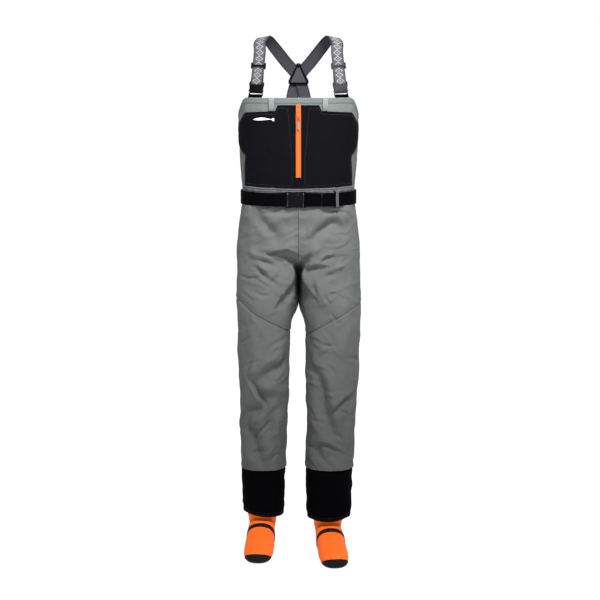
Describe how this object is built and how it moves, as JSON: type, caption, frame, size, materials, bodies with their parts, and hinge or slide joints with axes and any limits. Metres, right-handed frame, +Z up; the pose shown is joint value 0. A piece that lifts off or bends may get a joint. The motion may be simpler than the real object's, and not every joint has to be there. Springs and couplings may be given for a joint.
{
  "type": "chest waders",
  "caption": "Stockingfoot chest waders: zipped bib on crossed suspenders, belted trousers, gravel guards and neoprene sock feet.",
  "frame": {"origin": "midway between the shoulders, under the crowns of the two suspenders, where they bear on the wearer", "axes": "+Z up, towards the wearer's head; -Y the way the wearer faces; +X the wearer's left"},
  "size_m": [0.3583, 0.3123, 1.509],
  "materials": {
    "shell": "matt laminated shell",
    "trim": "matt woven tape",
    "pocket": "matt woven",
    "webbing": "matt woven webbing",
    "strap": "woven strap with a lighter geometric pattern",
    "elastic": "ribbed elastic",
    "hardware": "satin moulded acetal",
    "zip": "satin moulded",
    "guard": "matt tough fabric",
    "sock": "matt jersey on neoprene",
    "sole": "matt neoprene with tape",
    "pull": "matt moulded grip"
  },
  "bodies": {
    "shell": {"bib_front": "shell", "bib_back": "shell", "top_hem": "shell", "right_bib_loop": "trim", "left_bib_loop": "trim", "right_pocket_panel": "pocket", "left_pocket_panel": "pocket", "zip_tape": "zip", "zip_garage": "zip", "trouser_seat": "shell", "belt_webbing": "webbing", "belt_tail": "webbing", "right_belt_loop": "shell", "left_belt_loop": "shell", "belt_buckle_female": "hardware", "right_strap_buckle_male": "hardware", "right_front_tab": "webbing", "right_front_strap": "strap", "right_back_strap": "elastic", "left_strap_buckle_male": "hardware", "left_front_tab": "webbing", "left_front_strap": "strap", "left_back_strap": "elastic", "back_cross": "hardware"},
    "zip_slider": {"zip_slider": "zip"},
    "zip_pull": {"zip_pull": "pull"},
    "belt_male": {"belt_buckle_male": "hardware", "belt_end": "webbing"},
    "belt_lower_prong": {"belt_lower_prong": "hardware"},
    "belt_upper_prong": {"belt_upper_prong": "hardware"},
    "right_strap_upper": {"right_strap_buckle_female": "hardware", "right_strap_end": "strap"},
    "right_strap_outer_prong": {"right_strap_outer_prong": "hardware"},
    "right_strap_inner_prong": {"right_strap_inner_prong": "hardware"},
    "right_adjuster": {"right_adjuster": "hardware"},
    "left_strap_upper": {"left_strap_buckle_female": "hardware", "left_strap_end": "strap"},
    "left_strap_outer_prong": {"left_strap_outer_prong": "hardware"},
    "left_strap_inner_prong": {"left_strap_inner_prong": "hardware"},
    "left_adjuster": {"left_adjuster": "hardware"},
    "right_upper_leg": {"right_upper_leg": "shell"},
    "right_lower_leg": {"right_lower_leg": "shell", "right_gravel_guard": "guard", "right_guard_hem": "guard", "right_inner_cuff": "shell", "right_sock_leg": "sock"},
    "right_foot": {"right_sock_foot": "sock", "right_toe_cap": "sole", "right_sock_sole": "sole", "right_instep_band": "sole"},
    "left_upper_leg": {"left_upper_leg": "shell"},
    "left_lower_leg": {"left_lower_leg": "shell", "left_gravel_guard": "guard", "left_guard_hem": "guard", "left_inner_cuff": "shell", "left_sock_leg": "sock"},
    "left_foot": {"left_sock_foot": "sock", "left_toe_cap": "sole", "left_sock_sole": "sole", "left_instep_band": "sole"}
  },
  "joints": [
    {"name": "zip_slide", "type": "slide", "parent": "shell", "child": "zip_slider", "axis": [0, 0.0286, -0.9996], "range_m": [0, 0.164]},
    {"name": "zip_pull_hinge", "type": "hinge", "parent": "zip_slider", "child": "zip_pull", "pos_m": [0, -0.12094, -0.21335], "axis": [-1, 0, 0], "range_deg": [0, 150]},
    {"name": "belt_release", "type": "slide", "parent": "shell", "child": "belt_male", "axis": [1, 0, 0], "range_m": [0, 0.024], "deforming": ["belt_end"]},
    {"name": "belt_lower_prong_pinch", "type": "hinge", "parent": "belt_male", "child": "belt_lower_prong", "pos_m": [-0.0005, -0.119, -0.465], "axis": [0, 1, 0], "range_deg": [0, 7], "stiffness_Nm_per_rad": 0.05},
    {"name": "belt_upper_prong_pinch", "type": "hinge", "parent": "belt_male", "child": "belt_upper_prong", "pos_m": [-0.0005, -0.119, -0.433], "axis": [0, -1, 0], "range_deg": [0, 7], "stiffness_Nm_per_rad": 0.05},
    {"name": "right_strap_release", "type": "slide", "parent": "shell", "child": "right_strap_upper", "axis": [0.0945, 0.1519, 0.9839], "range_m": [0, 0.019], "deforming": ["right_strap_end"]},
    {"name": "right_strap_outer_prong_pinch", "type": "hinge", "parent": "shell", "child": "right_strap_outer_prong", "pos_m": [-0.13263, -0.08248, -0.14888], "axis": [0.2971, 0.9389, -0.1735], "range_deg": [0, 7], "stiffness_Nm_per_rad": 0.05},
    {"name": "right_strap_inner_prong_pinch", "type": "hinge", "parent": "shell", "child": "right_strap_inner_prong", "pos_m": [-0.10527, -0.09137, -0.15014], "axis": [-0.2971, -0.9389, 0.1735], "range_deg": [0, 7], "stiffness_Nm_per_rad": 0.05},
    {"name": "right_adjuster_slide", "type": "slide", "parent": "shell", "child": "right_adjuster", "axis": [0.0945, 0.1519, 0.9839], "range_m": [-0.008, 0.03]},
    {"name": "left_strap_release", "type": "slide", "parent": "shell", "child": "left_strap_upper", "axis": [-0.0945, 0.1519, 0.9839], "range_m": [0, 0.019], "deforming": ["left_strap_end"]},
    {"name": "left_strap_outer_prong_pinch", "type": "hinge", "parent": "shell", "child": "left_strap_outer_prong", "pos_m": [0.13263, -0.08248, -0.14888], "axis": [0.2971, -0.9389, 0.1735], "range_deg": [0, 7], "stiffness_Nm_per_rad": 0.05},
    {"name": "left_strap_inner_prong_pinch", "type": "hinge", "parent": "shell", "child": "left_strap_inner_prong", "pos_m": [0.10527, -0.09137, -0.15014], "axis": [-0.2971, 0.9389, -0.1735], "range_deg": [0, 7], "stiffness_Nm_per_rad": 0.05},
    {"name": "left_adjuster_slide", "type": "slide", "parent": "shell", "child": "left_adjuster", "axis": [-0.0945, 0.1519, 0.9839], "range_m": [-0.008, 0.03]},
    {"name": "right_hip", "type": "hinge", "parent": "shell", "child": "right_upper_leg", "pos_m": [-0.09, 0.004, -0.628], "axis": [-1, 0, 0], "range_deg": [-10, 50]},
    {"name": "right_knee", "type": "hinge", "parent": "right_upper_leg", "child": "right_lower_leg", "pos_m": [-0.099, 0.002, -1.008], "axis": [1, 0, 0], "range_deg": [0, 75]},
    {"name": "right_ankle", "type": "hinge", "parent": "right_lower_leg", "child": "right_foot", "pos_m": [-0.104, 0.01, -1.397], "axis": [1, 0, 0], "range_deg": [-8, 22], "stiffness_Nm_per_rad": 4},
    {"name": "left_hip", "type": "hinge", "parent": "shell", "child": "left_upper_leg", "pos_m": [0.09, 0.004, -0.628], "axis": [-1, 0, 0], "range_deg": [-10, 50]},
    {"name": "left_knee", "type": "hinge", "parent": "left_upper_leg", "child": "left_lower_leg", "pos_m": [0.099, 0.002, -1.008], "axis": [1, 0, 0], "range_deg": [0, 75]},
    {"name": "left_ankle", "type": "hinge", "parent": "left_lower_leg", "child": "left_foot", "pos_m": [0.082, 0.01, -1.412], "axis": [1, 0, 0], "range_deg": [-8, 22], "stiffness_Nm_per_rad": 4}
  ],
  "couplings": [
    {"joint": "belt_upper_prong_pinch", "follows": "belt_lower_prong_pinch", "ratio": 1},
    {"joint": "right_strap_inner_prong_pinch", "follows": "right_strap_outer_prong_pinch", "ratio": 1},
    {"joint": "left_strap_inner_prong_pinch", "follows": "left_strap_outer_prong_pinch", "ratio": 1}
  ]
}
